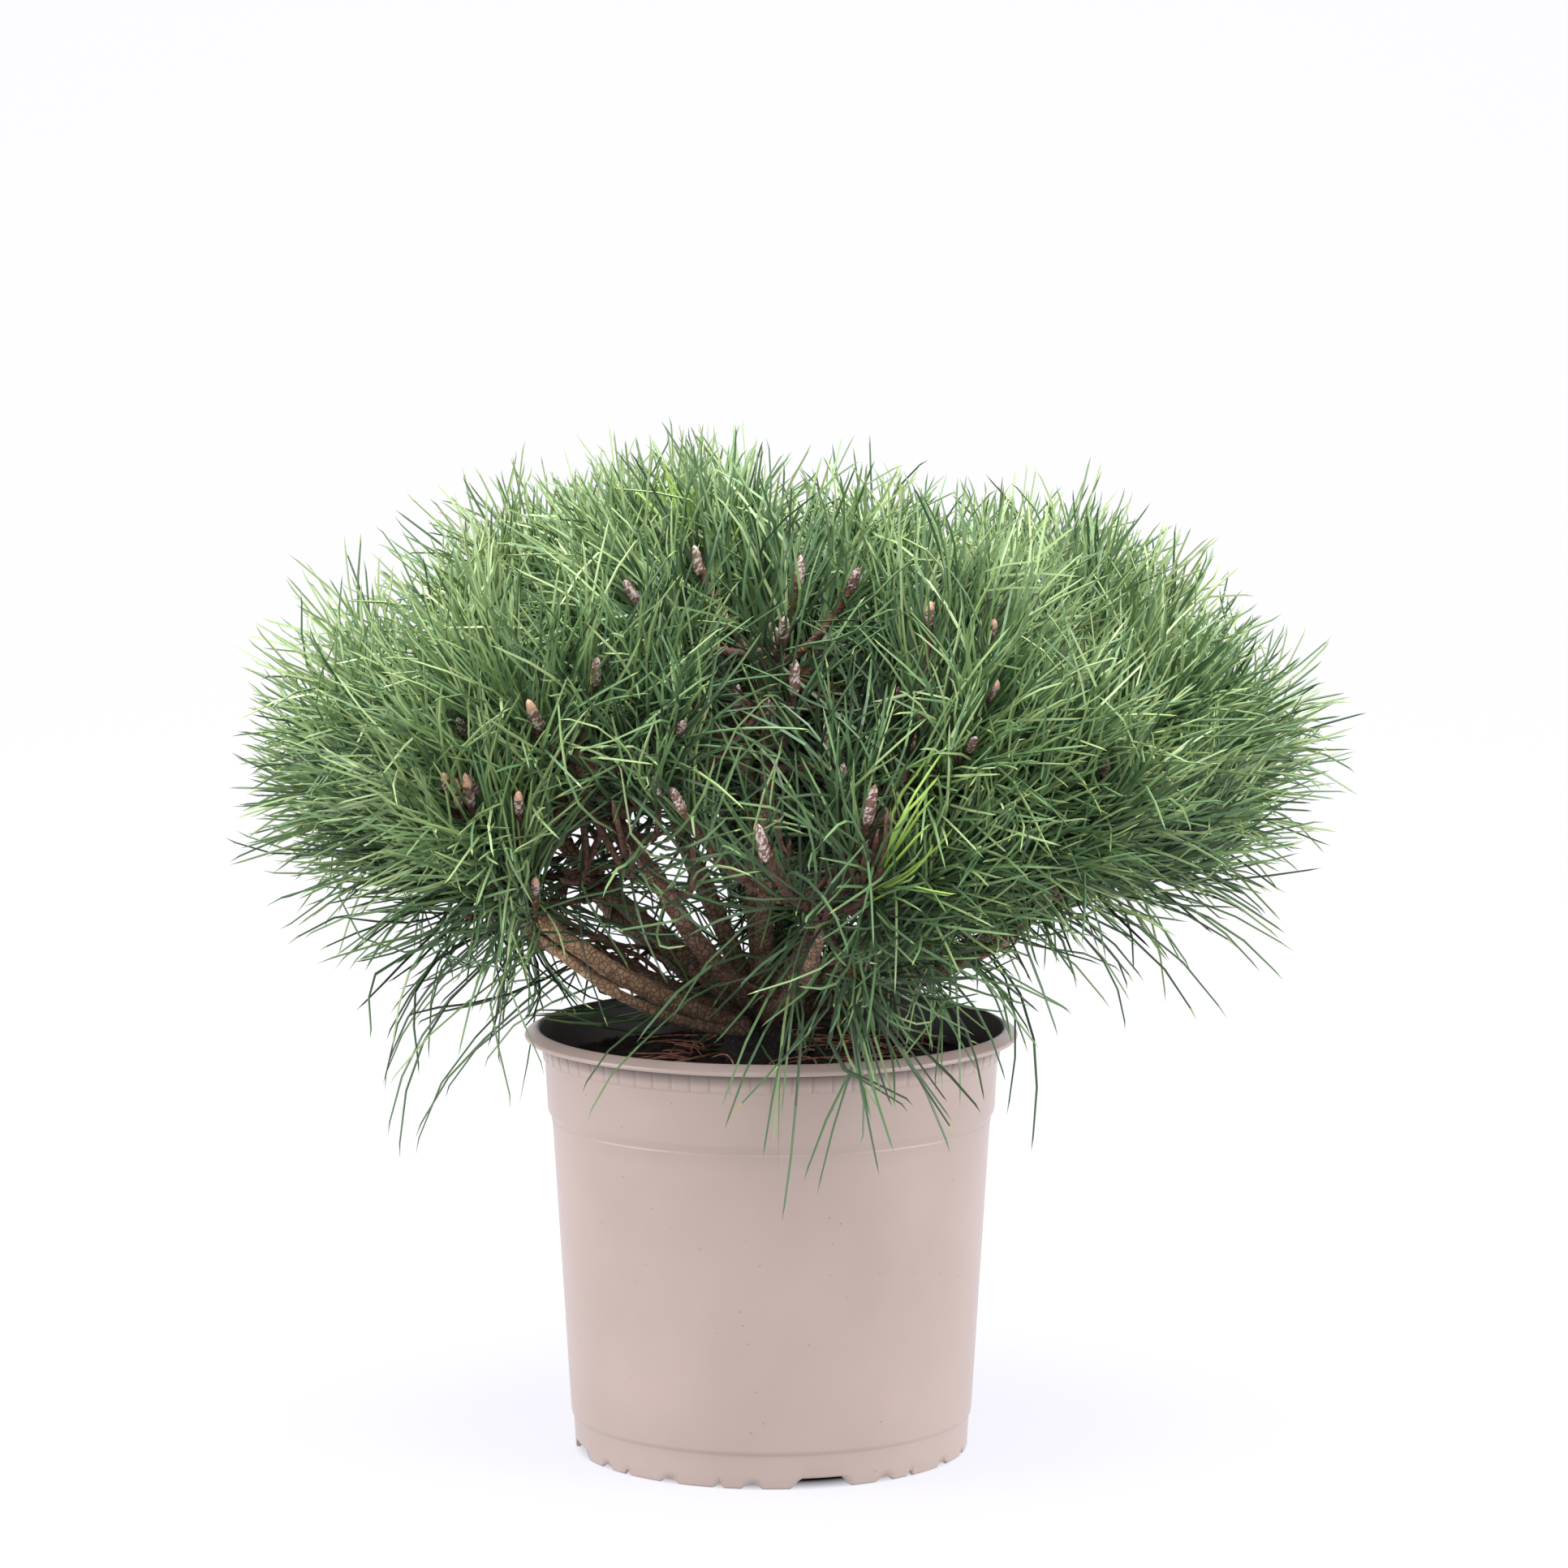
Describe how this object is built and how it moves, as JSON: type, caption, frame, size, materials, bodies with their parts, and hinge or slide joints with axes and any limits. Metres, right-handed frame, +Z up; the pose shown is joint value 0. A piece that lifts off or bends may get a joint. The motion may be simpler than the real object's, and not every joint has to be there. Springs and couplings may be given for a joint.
{
  "type": "potted mugo pine",
  "caption": "A low, cushion-shaped mugo pine with several stems and long curved needles, in a round taupe nursery pot.",
  "frame": {"origin": "centre of the flat underside of the pot, on the pot axis", "axes": "+Z up along the pot axis, +X to the right and -Y towards the viewer of the picture"},
  "size_m": [0.5304, 0.5022, 0.4808],
  "materials": {
    "moulded_pot": "satin",
    "potting_soil": "matte",
    "pine_bark": "matte",
    "pine_needles": "satin"
  },
  "bodies": {
    "root": {"pot": "moulded_pot", "soil": "potting_soil", "trunk": "pine_bark", "bough_low_1": "pine_bark", "bough_low_2": "pine_bark", "bough_low_3": "pine_bark", "bough_low_4": "pine_bark", "bough_low_5": "pine_bark", "bough_low_6": "pine_bark", "bough_low_7": "pine_bark", "bough_low_8": "pine_bark", "bough_mid_1": "pine_bark", "bough_mid_2": "pine_bark", "bough_mid_3": "pine_bark", "bough_mid_4": "pine_bark", "bough_mid_5": "pine_bark", "bough_mid_6": "pine_bark", "bough_top_1": "pine_bark", "bough_top_2": "pine_bark", "bough_top_3": "pine_bark", "bough_leader_1": "pine_bark", "needles_low_1": "pine_needles", "needles_low_2": "pine_needles", "needles_low_3": "pine_needles", "needles_low_4": "pine_needles", "needles_low_5": "pine_needles", "needles_low_6": "pine_needles", "needles_low_7": "pine_needles", "needles_low_8": "pine_needles", "needles_mid_1": "pine_needles", "needles_mid_2": "pine_needles", "needles_mid_3": "pine_needles", "needles_mid_4": "pine_needles", "needles_mid_5": "pine_needles", "needles_mid_6": "pine_needles", "needles_top_1": "pine_needles", "needles_top_2": "pine_needles", "needles_top_3": "pine_needles", "needles_leader_1": "pine_needles"}
  },
  "joints": []
}
